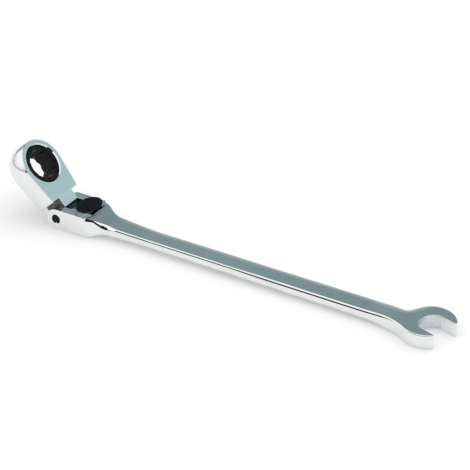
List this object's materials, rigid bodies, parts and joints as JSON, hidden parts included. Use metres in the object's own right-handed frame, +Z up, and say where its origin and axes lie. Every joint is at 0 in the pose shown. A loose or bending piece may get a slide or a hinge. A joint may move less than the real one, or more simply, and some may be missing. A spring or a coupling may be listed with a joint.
{
  "type": "locking flex-head ratcheting combination wrench",
  "caption": "Chrome combination wrench: an open end offset from the shank, and a ratcheting twelve-point ring on a flexing head that a thumb button locks.",
  "frame": {"origin": "middle of the bottom of the bounding box, on the plane the wrench lies on", "axes": "+X along the handle towards the open end, +Z up and out of the face with the button, +Y to the left seen from the head end towards the open end"},
  "size_m": [0.2234, 0.0248, 0.034],
  "materials": {
    "chrome_handle": "polished",
    "chrome_head": "polished",
    "black_pin": "black oxide",
    "black_gear": "black oxide",
    "black_pawl": "black oxide",
    "button_black": "fine ridged",
    "lock_steel": "plain",
    "spring_steel": "drawn wire",
    "pawl_spring_steel": "drawn wire",
    "pin_steel": "plain",
    "plunger_steel": "plain",
    "ring_steel": "spring steel"
  },
  "bodies": {
    "handle": {"handle_body": "chrome_handle", "pivot_pin": "black_pin", "lock_spring": "spring_steel"},
    "head": {"head_housing": "chrome_head", "retaining_ring": "ring_steel", "pawl_spring": "pawl_spring_steel"},
    "gear": {"ratchet_gear": "black_gear"},
    "pawl": {"ratchet_pawl": "black_pawl", "pawl_plunger": "plunger_steel"},
    "lock": {"lock_bar": "lock_steel", "lock_button": "button_black", "button_pin": "pin_steel"}
  },
  "joints": [
    {"name": "head_flex", "type": "hinge", "parent": "handle", "child": "head", "pos_m": [-0.08402, -0.00025, 0.0048], "axis": [0, 1, 0], "range_deg": [-141, 47]},
    {"name": "gear_spin", "type": "hinge", "parent": "head", "child": "gear", "pos_m": [-0.10018, -0.00025, 0.02213], "axis": [0.7314, 0, 0.682], "continuous": true},
    {"name": "pawl_slide", "type": "slide", "parent": "head", "child": "pawl", "axis": [0.682, 0, -0.7314], "range_m": [0, 0.00065], "stiffness_N_per_m": 300, "springref_m": -0.001, "deforming": ["pawl_spring"]},
    {"name": "lock_slide", "type": "slide", "parent": "handle", "child": "lock", "axis": [1, 0, 0], "range_m": [0, 0.002], "stiffness_N_per_m": 600, "springref_m": -0.003, "deforming": ["lock_spring"]}
  ]
}
